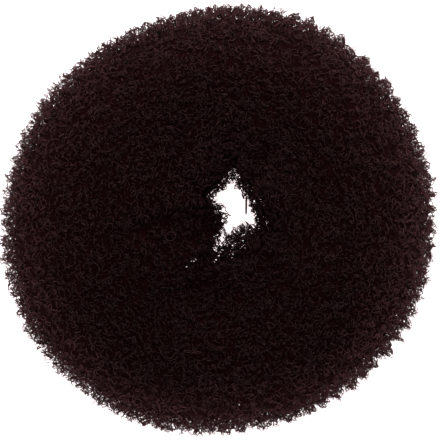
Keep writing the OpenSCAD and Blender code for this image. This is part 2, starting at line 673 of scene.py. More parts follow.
@dataclass(frozen=True)
class NylonFinish:
    """Brown black curly nylon.

    Attributes:
        name: the material's name.
        deep: linear colour in the gaps and on the darkest filaments.
        light: linear colour on the lightest filaments.
        roughness: mean roughness of a filament's surface.
        rough_span: how far the roughness falls and rises with the mottle.
        gloss: specular level.
        sheen_tint: tint of the gloss.
        by_curl: whether each curl has a shade of its own, read from the piece, instead of a drawn one.
        opened: whether gaps open in it, by a share read from the piece.
        line_scale: how many cells of the drawn rings a metre holds.
        mottling: share of the mottle in the blend of the two colours.
        painted_light_span: how strongly the darkest and the lightest filament take the painted rim light.
        relief: height and strength of the drawn filaments.
    """

    name: str
    deep: Triple
    light: Triple
    roughness: float = 0.45
    rough_span: Pair = (-0.08, 0.12)
    gloss: float = 0.2
    sheen_tint: Triple = (1.0, 0.75, 0.75)
    by_curl: bool = False
    opened: bool = False
    line_scale: float = 900.0
    mottling: float = 0.25
    painted_light_span: Pair = (0.2, 2.0)
    relief: Pair = (0.3 * MM, 0.8)

    def material(self) -> bpy.types.Material:
        """Build the material.

        Returns:
            The material, with colour, roughness and relief from its nodes.
        """
        material = bpy.data.materials.new(self.name)
        material.use_nodes = True
        wiring = Wiring(material.node_tree)
        shader = material.node_tree.nodes["Principled BSDF"]
        drawn = wiring.use(CurlyTexture().group(), Scale=self.line_scale).outputs
        shade = wiring.read(SHADE) if self.by_curl else drawn["Line"]
        mottle = wiring.math("MULTIPLY", drawn["Mottle"], self.mottling)
        share = wiring.math("MULTIPLY_ADD", shade, 1 - self.mottling, mottle)
        # Painted light and shade: lighter at the thin rim and by the hole, darker in the folds.
        light = wiring.math("MULTIPLY", wiring.read(PAINTED_LIGHT), wiring.span(share, *self.painted_light_span))
        edge = wiring.use(PaintedLightAndShade().group(), Color=wiring.blend(share, self.deep, self.light), Light=light)
        rough = wiring.span(drawn["Mottle"], *(self.roughness + step for step in self.rough_span))
        for title, value in (
            ("Base Color", edge.outputs["Color"]),
            ("Roughness", rough),
            ("Specular IOR Level", self.gloss),
            ("Specular Tint", (*self.sheen_tint, 1)),
        ):
            wiring.put(shader.inputs[title], value)
        if not self.by_curl:
            distance, strength = self.relief
            bump = wiring.node("Bump", Height=drawn["Line"], Distance=distance, Strength=strength)
            wiring.put(shader.inputs["Normal"], bump.outputs["Normal"])
        if self.opened:
            gaps = wiring.use(OpenStitches().group(), Open=wiring.read(OPEN))
            wiring.put(shader.inputs["Alpha"], gaps.outputs["Solid"])
        return material


YARN_FINISH = NylonFinish(
    name="curly_filament",
    deep=(0.0118, 0.0023, 0.0024),
    light=(0.0355, 0.0129, 0.0135),
    by_curl=True,
)
# Painted shade: the wall's colours are darker than the yarn's, for the knit that lies in shadow under the
# curls.
BODY_FINISH = NylonFinish(
    name="knit_in_shadow",
    deep=(0.0093, 0.0014, 0.0015),
    light=(0.0130, 0.0028, 0.0030),
    roughness=0.8,
    gloss=0.03,
    opened=True,
)
# Painted light: pale loops that stand for the white floor seen through gaps in the knit.
PAINTED_LIGHT_SPECK_FINISH = NylonFinish(
    name="painted_light_speck",
    deep=(0.60, 0.52, 0.52),
    light=(0.85, 0.80, 0.80),
    by_curl=True,
)
CORE_FINISH = NylonFinish(
    name="pressed_knit",
    deep=(0.006, 0.0018, 0.0018),
    light=(0.030, 0.010, 0.010),
    roughness=0.7,
    gloss=0.1,
)


@dataclass
class Wales:
    """The columns of stitches, which stand out as tufts with furrows between them.

    Attributes:
        count: tufts round the ring.
        height: rise from a furrow to a tuft where they are strongest.
        strength: shares of that height every 20 degrees, from the right and counterclockwise.
        stand: how far the knit stands out beyond the skin's rim every 10 degrees, in millimetres.
        reach: distances from the ring's middle where they start and where they are full.
        on_top: share of the height that is left on the crown.
        own: least and most share of the height that a tuft has.
        shifted: most way by which a tuft is out of place, as a share of the way to the next.
        seed: start of the random draws.
    """

    count: int = 80
    height: float = 1.9 * MM
    strength: tuple[float, ...] = (
        0.9, 1.0, 0.9, 0.75, 0.5, 0.4, 0.35, 0.35, 0.4, 0.4, 0.4, 0.4, 0.4, 0.5, 0.6, 0.9, 1.0, 1.0,
    )
    stand: tuple[float, ...] = (
        0.4, 0.5, -0.2, 0.0, 0.0, -0.2, 0.2, 0.5, 0.7, 0.6, -0.1, 0.0,
        0.7, 0.5, 0.6, 0.6, 0.5, 0.7, 0.7, 0.9, 0.1, 0.4, 0.2, 0.1,
        0.4, 0.4, 0.7, 0.5, -0.2, -0.3, -0.5, -0.1, -0.1, 0.6, 0.4, 0.4,
    )
    reach: Pair = (15 * MM, 45 * MM)
    on_top: float = 0.15
    own: Pair = (0.35, 1.25)
    shifted: float = 0.22
    seed: int = 3

    def __post_init__(self) -> None:
        """Draw each tuft's own height and place."""
        draw = np.random.default_rng(self.seed)
        self.own_height = draw.uniform(*self.own, self.count)
        self.shift = draw.uniform(-self.shifted, self.shifted, self.count)

    def relief(self, spots: Spots) -> np.ndarray:
        """Height that the tufts add to the skin.

        Args:
            spots: places on it.

        Returns:
            The heights there, above and below the mean.
        """
        x, y, _ = spots.place.T
        turn = np.arctan2(y, x) / (2 * math.pi)
        at = turn * self.count
        phase = at + smooth_steps(self.shift, at)
        # The crest goes straight from -1 in a furrow to 1 on a tuft and back.
        crest = 1 - 2 * np.abs(2 * (phase % 1) - 1)
        strength = smooth_steps(np.array(self.strength), turn * len(self.strength))
        rise = self.height / 2 * smooth_steps(self.own_height, at) * strength * crest
        stand = smooth_steps(np.array(self.stand) * MM, turn * len(self.stand))
        outward = (spots.normal[:, :2] ** 2).sum(1)
        reach = np.interp(np.hypot(x, y), self.reach, (0, 1))
        return reach * (rise * (self.on_top + (1 - self.on_top) * outward) + stand * outward)


@dataclass
class Creases:
    """The folds pressed into the upper side, the pinched edge of the hole, and the light and shade painted
    on the knit.

    Attributes:
        folds: each fold's deep end, its shallow end, its half width and its depth, in millimetres,
            and how much shade is painted in it.
        hole: middle of the hole in millimetres.
        hole_edge: for each direction from there, in degrees, how far the knit stands into the hole
            beyond the skin, how much deeper the wall lies behind it, and how far back the loosest
            curls lie, in millimetres.
        painted_rim_light: for the front and for the back of the ring, the light painted from the crown
            outwards, how much more at the rim, and how much more at the very edge.
        fading: share of its depth and painted shade that a fold loses by its shallow end.
        length: way from front to back along which the rim's painted light goes from the one to the other.
        painted_hole_light: the light painted on the knit by the hole, how much more behind it than beside
            it, and the middle and half width in millimetres of the belt that has it.
        rim_powers: powers by which the painted light keeps to the rim and to its very edge.
        underside: share of the painted rim light where the skin faces sideways, how much more upwards, the
            least.
        fold_slopes: how fast a fold's depth and its painted shade set in as the skin turns upwards.
        crown_slope: how fast the crown's painted light sets in as the skin turns outwards.
        hole_slope: how fast the painted light by the hole sets in as the skin turns upwards, and its share
            where the skin is upright.
    """

    folds: Table = (
        (-3.5, 1.2, -22.6, -3.3, 2.1, 0.7, 0.30),
        (-20.0, -2.7, -11.0, -1.0, 2.1, 0.4, 0.36),
        (-0.5, -6.0, -9.0, -10.8, 1.0, 1.8, 0.45),
        (-1.0, -13.0, -10.4, -14.4, 3.4, 1.7, 0.70),
        (-2.0, -1.5, -11.5, -4.0, 4.4, 0.7, 0.48),
        (8.2, 12.4, 9.6, 15.0, 1.2, 0.9, 0.35),
        (7.5, -5.5, 1.0, -9.5, 1.6, 0.6, 0.35),
        (-9.0, -25.0, -17.0, -25.0, 7.0, 0.3, 0.30),
        # The last two folds have no depth: they only paint shade.
        (9.0, -9.0, 18.0, -19.0, 7.0, 0.0, 0.45),
        (-13.0, -13.0, 13.0, -14.0, 9.0, 0.0, 0.50),
    )
    hole: Pair = (2.89, 1.70)
    hole_edge: Table = (
        (0, 0.3, 0.0, 0.1),
        (24, -0.4, 0.0, 0.0),
        (48, -0.3, 0.0, 0.0),
        (72, -0.5, 0.2, 0.1),
        (84, -0.9, 0.8, 0.4),
        (96, 0.7, 1.0, 0.8),
        (108, -0.5, 0.5, 0.3),
        (132, -0.3, 0.1, 0.1),
        (149, -0.2, 0.0, 0.0),
        (161, 2.3, 0.7, 0.8),
        (170, 2.9, 0.7, 0.8),
        (181, 2.8, 0.5, 0.4),
        (192, 2.1, 0.4, 0.1),
        (216, 2.0, 0.4, 0.1),
        (229, 2.3, 0.7, 0.5),
        (238, 2.2, 2.8, 1.8),
        (246, 1.8, 1.9, 1.5),
        (253, 1.5, 0.9, 0.8),
        (261, 1.9, 2.9, 1.9),
        (268, 2.0, 2.6, 1.9),
        (276, 1.5, 0.9, 0.9),
        (288, 1.5, 1.3, 1.1),
        (300, 1.3, 1.2, 0.8),
        (312, 2.0, 2.3, 1.5),
        (324, -0.1, 0.3, 0.4),
        (340, 0.5, 0.1, 0.3),
        (350, 1.0, 0.2, 0.3),
    )
    painted_rim_light: Table = ((0.0, 1.50, 0.12), (0.10, 0.42, 0.58))
    fading: float = 0.5
    length: float = 90 * MM
    painted_hole_light: tuple[float, float, float, float] = (0.08, 0.06, 8.0, 5.0)
    rim_powers: tuple[int, int] = (3, 8)
    underside: Triple = (0.8, 0.9, 0.15)
    fold_slopes: Pair = (1.5, 2.0)
    crown_slope: float = 4.0
    hole_slope: Pair = (2.0, 0.5)

    def fold_at(self, place: np.ndarray) -> tuple[np.ndarray, np.ndarray]:
        """Read the folds at places seen from above.

        Args:
            place: the places, in metres.

        Returns:
            The depth there, in metres, and the painted shade.
        """
        depth = np.zeros(len(place))
        dark = np.zeros(len(place))
        for x0, y0, x1, y1, half, deep, shade in self.folds:
            start = np.array((x0, y0)) * MM
            way = np.array((x1 - x0, y1 - y0)) * MM
            along = clipped((place[:, :2] - start) @ way / (way @ way))
            off = np.linalg.norm(place[:, :2] - start - along[:, None] * way, axis=1) / (half * MM)
            share = np.exp(-off * off) * (1 - self.fading * along * along)
            depth = np.maximum(depth, deep * MM * share)
            dark = np.maximum(dark, shade * share)
        return depth, dark

    def edge_at(self, spots: Spots) -> np.ndarray:
        """Read how far the edge of the hole stands in.

        Args:
            spots: places on the skin.

        Returns:
            Three rows, all 0 away from the hole's upright wall: the height of the knit over the
            skin, the further depth of the wall and that of the loosest curls.
        """
        away = spots.place[:, :2] - np.array(self.hole) * MM
        inward = clipped(-facing(spots.normal, away)) ** 2
        direction = np.degrees(np.arctan2(away[:, 1], away[:, 0])) % 360
        rows = np.array(self.hole_edge)
        return np.stack([
            np.interp(direction, rows[:, 0], column, period=360) * inward * MM for column in rows[:, 1:].T
        ])

    def relief(self, spots: Spots) -> np.ndarray:
        """Height that the hole's edge adds to the skin, less the depth of the folds."""
        upper = clipped(spots.normal[:, 2], self.fold_slopes[0])
        return self.edge_at(spots)[0] - self.fold_at(spots.place)[0] * upper

    def light(self, spots: Spots) -> np.ndarray:
        """How much light and shade is painted on the knit.

        Args:
            spots: places on the skin.

        Returns:
            Painted light above 0, at the thin edge of the rim and by the hole, and painted shade below 0,
            in a fold of the upper side.
        """
        outward = clipped(spots.outward())
        upward = spots.normal[:, 2]
        back = clipped(spots.place[:, 1] / self.length, start=0.5)[:, None]
        at_front, at_back = np.array(self.painted_rim_light)
        level, rim, edge = (at_front + back * (at_back - at_front)).T
        wide, narrow = self.rim_powers
        # Light painted on the rim, more at its very edge.
        glow = level * clipped(outward, self.crown_slope) + rim * outward**wide + edge * outward**narrow
        side, above, least = self.underside
        glow *= np.clip(side + above * upward, least, 1)
        # Light painted by the hole, more behind it.
        across = (spots.place[:, :2] - np.array(self.hole) * MM) / MM
        away = np.linalg.norm(across, axis=1)
        mean, behind, middle, half = self.painted_hole_light
        painted_by_hole = (mean + behind * across[:, 1] / away) * np.exp(-(((away - middle) / half) ** 2))
        painted_by_hole *= clipped(upward, *self.hole_slope)
        # Shade painted in the folds.
        return glow + painted_by_hole - self.fold_at(spots.place)[1] * clipped(upward, self.fold_slopes[1])


@dataclass
class SkinGrid:
    """The ring's skin as a closed grid of places.

    Attributes:
        place: places in metres, by direction round the ring and by share of the way round the section.
        normal: the skin's outward directions at those places.
    """

    place: np.ndarray
    normal: np.ndarray

    def top_at(self, where: np.ndarray, slope: float = 0.3) -> np.ndarray:
        """Find the place on the upper side that lies nearest to each point, seen from above.

        Args:
            where: the points' X and Y.
            slope: least upward part of the skin's direction on that side.

        Returns:
            The places.
        """
        upper = self.place[self.normal[..., 2] > slope]
        off = np.linalg.norm(upper[None, :, :2] - where[:, None], axis=2)
        return upper[off.argmin(1)]

    @classmethod
    def from_mesh(cls, mesh: bpy.types.Mesh, rings: int, rows: int) -> "SkinGrid":
        """Read the grid from a ring of quads and space its rows evenly round the section.

        Args:
            mesh: a torus mesh whose vertices run round the section first.
            rings: how many sections the mesh has.
            rows: how many vertices each section has.

        Returns:
            The grid, whose rows start in the middle of the underside.
        """
        flat = np.empty(len(mesh.vertices) * 3, np.float32)
        mesh.vertices.foreach_get("co", flat)
        place = flat.reshape(rings, rows, 3).astype(float)
        place = np.roll(place, rows // 4, axis=1)
        closed = np.concatenate([place, place[:, :1]], axis=1)
        step = np.linalg.norm(np.diff(closed, axis=1), axis=2)
        way = np.concatenate([np.zeros((rings, 1)), np.cumsum(step, axis=1)], axis=1)
        way /= way[:, -1:]
        wanted = np.arange(rows) / rows
        even = np.empty((rings, rows, 3))
        for ring in range(rings):
            for axis in range(3):
                even[ring, :, axis] = np.interp(wanted, way[ring], closed[ring, :, axis])
        return cls(even, unit(np.cross(run(even, 0), run(even, 1))))

    def round_section(self) -> float:
        """Mean way round the section."""
        return np.linalg.norm(self.place - np.roll(self.place, 1, axis=1), axis=2).sum(1).mean()

    def read(self, turn: np.ndarray, share: np.ndarray) -> Spots:
        """Read the skin anywhere.

        Args:
            turn: how far round the ring, where 1 is once round.
            share: how far round the section, where 1 is once round.

        Returns:
            The spots there.
        """
        rings, rows = self.place.shape[:2]
        x = (turn % 1) * rings
        y = (share % 1) * rows
        i, j = np.floor(x).astype(int), np.floor(y).astype(int)
        s, t = (x - i)[:, None], (y - j)[:, None]
        i, j = i % rings, j % rows
        i2, j2 = (i + 1) % rings, (j + 1) % rows

        def mixed(of: np.ndarray) -> np.ndarray:
            """Mix the four nearest entries of one array.

            Args:
                of: the array.

            Returns:
                The mixed entries.
            """
            low = of[i, j] * (1 - s) + of[i2, j] * s
            high = of[i, j2] * (1 - s) + of[i2, j2] * s
            return low * (1 - t) + high * t

        return Spots(mixed(self.place), unit(mixed(self.normal)))

    def read_all(self, rings: int, rows: int) -> Spots:
        """Read the skin all over, with so many sections and so many places round each."""
        return self.read(np.repeat(np.arange(rings) / rings, rows), np.tile(np.arange(rows) / rows, rings))


@dataclass
class KnitBody:
    """The outer turn of the roll, a dark rough wall that lies under its curls.

    Attributes:
        wales: the tufts that the wall follows.
        creases: the folds that it follows.
        node: the CAD node that it stands for.
        rings: sections round the wall.
        rows: points round each section.
        weld: distance within which vertices of the CAD skin are taken for one.
        guide_rings: sections round the thin torus that is blown up to the skin.
        guide_r: radius of that torus.
        guide_shift: how far its middle lies from the ring's middle towards the hole.
        guide_size: its width as a share of the ring's.
        inset: depth of the wall under the skin, at the top and at the rim.
        hole_inset: depth of the wall in the hole.
        notch: depth of the chance notches in its rim.
        notch_step: sections from one notch to the next.
        notch_powers: how strongly their depths crowd at the low end, and how they keep to the rim.
        opened: most share of gaps in the wall, at its rim and in the hole.
        opening: level part of the skin's direction where the gaps start at the rim and in the hole.
        widest: level part of the skin's direction from where on they are most.
        loosening: how much sooner they start, and how many more they are, for each metre by which
            the hole's curls lie loose.
        dimming: share of the curls' painted light that the wall behind them takes, on its upper and
            on its lower half.
        halves: upward part of the skin's direction at the lower half's top and the upper's bottom.
        drawn: light painted on the filaments drawn on the wall's underside, where its curls are sparse.
        roughness: height of the wall's own small bumps.
        bumps: width of those bumps, and the level that stays in place.
        lining_grid: sections round the wall's inner face, and points round each.
        lining_depth: depth of that face under the skin, everywhere else and in the hole.
        smoothing: passes that take the facets out of the skin, and how strong each is.
        seed: start of the random draws.
        grid: the skin's grid, read when the wall is built.
    """

    wales: Wales
    creases: Creases
    node: str = "outer_mesh"
    rings: int = 480
    rows: int = 76
    weld: float = 0.001 * MM
    guide_rings: int = 240
    guide_r: float = 3 * MM
    guide_shift: float = 0.6
    guide_size: float = 0.54
    inset: Pair = (1.3 * MM, 1.0 * MM)
    hole_inset: float = 0.9 * MM
    notch: float = 1.2 * MM
    notch_step: int = 3
    notch_powers: Pair = (1.5, 4)
    opened: Pair = (0.60, 0.5)
    opening: Pair = (0.84, 0.87)
    widest: float = 0.99
    loosening: Pair = (0.17 / MM, 0.13 / MM)
    dimming: Pair = (0.43, 0.65)
    halves: Pair = (-0.35, 0.15)
    drawn: float = 0.13
    roughness: float = 0.8 * MM
    bumps: Pair = (0.9 * MM, 0.6)
    lining_grid: tuple[int, int] = (96, 20)
    lining_depth: Pair = (2.7 * MM, 7.0 * MM)
    smoothing: tuple[int, float] = (8, 0.5)
    seed: int = 11
    grid: SkinGrid = field(init=False)

    def guide(self) -> Piece:
        """Copy the CAD skin without the hollow inside it.

        Returns:
            The outer skin as a merged mesh.
        """
        clear_selection()
        mesh = frame["nodes"][self.node].data.copy()
        guide = bpy.data.objects.new("skin_guide", mesh)
        bpy.context.scene.collection.objects.link(guide)
        make_active(guide)
        bpy.ops.object.mode_set(mode="EDIT")
        bpy.ops.mesh.select_all(action="SELECT")
        bpy.ops.mesh.remove_doubles(threshold=self.weld)
        bpy.ops.mesh.select_all(action="DESELECT")
        bpy.ops.object.mode_set(mode="OBJECT")
        outermost = max(mesh.vertices, key=lambda v: v.co.x)
        outermost.select = True
        bpy.ops.object.mode_set(mode="EDIT")
        bpy.ops.mesh.select_mode(type="VERT")
        bpy.ops.mesh.select_linked()
        bpy.ops.mesh.select_all(action="INVERT")
        bpy.ops.mesh.delete(type="VERT")
        bpy.ops.object.mode_set(mode="OBJECT")
        return guide

    def read_skin(self) -> SkinGrid:
        """Blow a thin torus up to the CAD skin, smooth it and read its grid.

        Returns:
            The skin without facets.
        """
        guide = self.guide()
        low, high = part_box(self.node)
        hole = next(m for m in frame["record"]["mounts"] if m["name"] == "ponytail_hole")["pos_m"]
        middle = Vector(((low.x + high.x) / 2, (low.y + high.y) / 2))
        centre = middle.lerp(Vector(hole[:2]), self.guide_shift)
        half = (high.x - low.x) / 2
        clear_selection()
        bpy.ops.mesh.primitive_torus_add(
            location=(centre.x, centre.y, (low.z + high.z) / 2),
            major_radius=self.guide_size * half,
            minor_radius=self.guide_r,
            major_segments=self.guide_rings,
            minor_segments=self.rows,
        )
        skin = settle(bpy.context.object, "skin")
        add_modifier(
            skin, "SHRINKWRAP", target=guide, wrap_method="PROJECT",
            use_negative_direction=False, use_positive_direction=True,
        )
        passes, strength = self.smoothing
        add_modifier(skin, "SMOOTH", factor=strength, iterations=passes)
        grid = SkinGrid.from_mesh(skin.data, self.guide_rings, self.rows)
        bpy.data.objects.remove(guide)
        bpy.data.objects.remove(skin)
        return grid

    def lining(self) -> tuple[np.ndarray, np.ndarray]:
        """Lay the wall's inner face, which shows dark behind its gaps from the side.

        Returns:
            Its vertex places, and its faces, which look into the roll.
        """
        spots = self.grid.read_all(*self.lining_grid)
        elsewhere, hole = self.lining_depth
        depth = elsewhere + (hole - elsewhere) * clipped(-spots.outward())
        return spots.raised(-depth), tube_faces(*self.lining_grid)[:, ::-1]

    def notches(self, outward: np.ndarray) -> np.ndarray:
        """Cut notches into the rim here and there.

        Args:
            outward: how far the skin faces outwards at each place of the wall.

        Returns:
            Their depth at each place.
        """
        draw = np.random.default_rng(self.seed)
        crowding, keeping = self.notch_powers
        cut = np.zeros(self.rings)
        about = np.arange(0, self.rings, self.notch_step)
        cut[about + draw.integers(0, 2, len(about))] = draw.uniform(0, 1, len(about)) ** crowding
        return self.notch * cut.repeat(self.rows) * clipped(outward) ** keeping

    def gaps(self, outward: np.ndarray, loose: np.ndarray) -> np.ndarray:
        """Share of gaps in the wall.

        Args:
            outward: how far the skin faces outwards at each place of the wall, below 0 in the hole.
            loose: how far back the curls lie there.

        Returns:
            The share at each place.
        """
        sooner, more = self.loosening
        low = np.where(outward > 0, *self.opening) - sooner * loose
        grown = eased(clipped((np.abs(outward) - low) / (self.widest - low)))
        return (np.where(outward > 0, *self.opened) + more * loose) * grown

    def brightness(self, spots: Spots) -> np.ndarray:
        """How much light and shade is painted on the wall.

        Args:
            spots: places on the skin.

        Returns:
            The painted light and shade there, on the scale of the creases' own.
        """
        light = self.creases.light(spots)
        upward = spots.normal[:, 2]
        light *= np.where(light > 0, np.interp(upward, self.halves, self.dimming[::-1]), 1)
        return light + self.drawn * clipped(-upward)

    def build(self) -> Piece:
        """Set the wall back from the skin, with furrows between the wales, and roughen it.

        Returns:
            The wall as a closed mesh.
        """
        self.grid = self.read_skin()
        spots = self.grid.read_all(self.rings, self.rows)
        top, rim = self.inset
        outward = spots.outward()
        _, deeper, loose = self.creases.edge_at(spots)
        depth = top + np.where(outward > 0, rim - top, self.hole_inset - top) * np.abs(outward)
        depth += self.notches(outward) + deeper
        depth -= self.wales.relief(spots) + self.creases.relief(spots)
        inner, inner_faces = self.lining()
        outer_faces = tube_faces(self.rings, self.rows)
        places = np.concatenate([spots.raised(-depth), inner])
        wall = mesh_of("knit_body", places, np.concatenate([outer_faces, inner_faces + len(depth)]))
        # The wall's painted light and shade; the lining gets none.
        tell(wall, PAINTED_LIGHT, np.pad(self.brightness(spots), (0, len(inner))))
        tell(wall, OPEN, np.pad(self.gaps(outward, loose), (0, len(inner))))
        width, level = self.bumps
        noise = bpy.data.textures.new("wall_bumps", "CLOUDS")
        noise.noise_scale = width
        noise.noise_depth = 1
        add_modifier(wall, "DISPLACE", texture=noise, strength=self.roughness, mid_level=level)
        return wall

    def dress(self, wall: Piece) -> None:
        """Give the wall its finish, let it ride on the ring and hide the CAD node that it stands for.

        Args:
            wall: the wall.
        """
        wall.data.materials.clear()
        wall.data.materials.append(BODY_FINISH.material())
        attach(wall, BODY)
        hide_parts(self.node)


@dataclass
class CurledYarn:
    """The knitted courses: one endless curly filament round the ring for each.

    Attributes:
        grid: the skin that the courses lie on.
        wales: the tufts that the courses follow.
        creases: the folds that they follow.
        sides: sides of the filament's tube.
        steps: lengths of tube in one curl.
        curl_r: least and most radius of a curl.
        curl_pitch: way along the course from one curl to the next.
        least_curls: curls in the shortest course.
        samples: places along a course that measure its length.
        wandering: how far a course wanders, as a share of the way to the next.
        pace: least and most turn of the filament in a curl, as a share of a whole one.
        turning: most step along the wave that sets which way round the curls run, in radians.
        tumbles: random turns of the curls' plane, and the number of curls that have so many.
        darkness: how strongly the curls' shades crowd at the dark end.
        thinning: share by which the filament thins for each metre by which its curls lie loose.
        seed: start of the random draws.
    """

    grid: SkinGrid
    wales: Wales
    creases: Creases
    sides: int = 3
    steps: int = 6
    curl_r: Pair = (0.25 * MM, 0.62 * MM)
    curl_pitch: float = 0.98 * MM
    least_curls: int = 12
    samples: int = 721
    wandering: float = 0.4
    pace: Pair = (0.75, 1.3)
    turning: float = 1.6
    tumbles: tuple[int, int] = (2, 3)
    darkness: float = 1.5
    thinning: float = 0.17 / MM
    seed: int = 7

    def __post_init__(self) -> None:
        """Start the random draws."""
        self.random = np.random.default_rng(self.seed)

    def tumble(self, at: np.ndarray, knots: int) -> tuple[np.ndarray, np.ndarray]:
        """Turn a plane at random and smoothly along the yarn.

        Args:
            at: the places along the yarn, from 0 to knots.
            knots: how many random turns there are.

        Returns:
            Two square directions of the plane, as parts ahead, aside and outward.
        """
        turns = self.random.normal(0, 1, (4, knots))
        w, x, y, z = unit(np.stack([smooth_steps(t, at) for t in turns], -1)).T
        one = np.stack([1 - 2 * (y * y + z * z), 2 * (x * y + w * z), 2 * (x * z - w * y)], -1)
        two = np.stack([2 * (x * y - w * z), 1 - 2 * (x * x + z * z), 2 * (y * z + w * x)], -1)
        return one, two

    def curls_of(self, share: float) -> tuple[int, np.ndarray]:
        """Space the curls of one course evenly along it.

        Args:
            share: how far round the section it lies.

        Returns:
            How many curls it has, and how far round the ring each point of its filament lies.
        """
        turn = np.linspace(0, 1, self.samples)
        line = self.grid.read(turn, np.full(self.samples, share)).place
        way = np.concatenate([[0], np.cumsum(np.linalg.norm(np.diff(line, axis=0), axis=1))])
        curls = max(self.least_curls, round(way[-1] / self.curl_pitch))
        count = curls * self.steps
        return curls, np.interp(np.arange(count) / count * way[-1], way, turn)

    def phase(self, curls: int, curl_at: np.ndarray) -> np.ndarray:
        """Turn the filament along its curls, now one way round and now the other.

        Args:
            curls: how many curls the course has.
            curl_at: the curl in which each point lies, and how far along it.

        Returns:
            The filament's angle at each point, which closes in a whole number of turns.
        """
        draw = self.random
        pace = draw.uniform(*self.pace, curls)
        pace *= np.sign(np.sin(np.cumsum(draw.uniform(0, self.turning, curls))))
        phase = 2 * math.pi / self.steps * np.cumsum(smooth_steps(pace, curl_at))
        whole = 2 * math.pi * round(phase[-1] / (2 * math.pi))
        return phase + (whole - phase[-1]) * (curl_at / curls + 1 / len(phase))

    def course(self, share: float, zone: Zone) -> Filament:
        """Lay one course round the ring.

        Args:
            share: how far round the section it lies.
            zone: the belt that it belongs to.

        Returns:
            Its filament.
        """
        draw = self.random
        curls, turn = self.curls_of(share)
        curl_at = np.arange(len(turn)) / len(turn) * curls
        spread = self.wandering * zone.gap / self.grid.round_section()
        wander = smooth_steps(draw.normal(0, spread, curls), curl_at)
        spots = self.grid.read(turn, share + wander)
        ahead = unit(run(spots.place, 0))
        aside = unit(np.cross(spots.normal, ahead))
        phase = self.phase(curls, curl_at)[:, None]
        low, high = self.curl_r
        radius = low + (high - low) * smooth_steps(draw.uniform(0, 1, curls), curl_at)
        low, high = zone.lift
        rise = smooth_steps(draw.uniform(0, 1, curls) ** zone.crowding, curl_at)
        loose = self.creases.edge_at(spots)[2]
        height = low + (high - low) * rise - (1 - rise) * loose
        height += self.wales.relief(spots) + self.creases.relief(spots)
        turns, in_curls = self.tumbles
        knots = curls * turns // in_curls
        basis = np.stack([ahead, aside, spots.normal], 1)
        one, two = (
            np.einsum("ij,ijk->ik", way, basis) for way in self.tumble(curl_at / curls * knots, knots)
        )
        points = spots.raised(height)
        points += radius[:, None] * (np.cos(phase) * one + np.sin(phase) * two)
        points[:, 2] = np.maximum(points[:, 2], zone.thickness)
        shade = smooth_steps(draw.uniform(0, 1, curls) ** self.darkness, curl_at)
        thickness = zone.thickness * (1 - self.thinning * loose)
        # Light and shade painted along the course.
        light = self.creases.light(spots)
        return Filament(points[None], np.cross(one, two)[None], thickness[None], shade, light)

    def piece(self, zone: Zone) -> Piece:
        """Knit the courses of one belt into one mesh.

        Args:
            zone: the belt.

        Returns:
            The filaments of that belt.
        """
        rows = round((zone.end - zone.start) * self.grid.round_section() / zone.gap)
        shares = [zone.start + (zone.end - zone.start) * row / rows for row in range(rows)]
        return spin("yarn_" + zone.title, [self.course(share, zone) for share in shares], self.sides, 0.0)

    def build(self) -> list[Piece]:
        """Knit every belt, and return one piece for each."""
        return [self.piece(zone) for zone in Zone]


def dress_yarn(pieces: list[Piece], finish: NylonFinish) -> None:
    """Give pieces of yarn one finish and let them ride on the ring.

    Args:
        pieces: the pieces.
        finish: their finish.
    """
    material = finish.material()
    for piece in pieces:
        piece.data.materials.append(material)
        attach(piece, BODY)


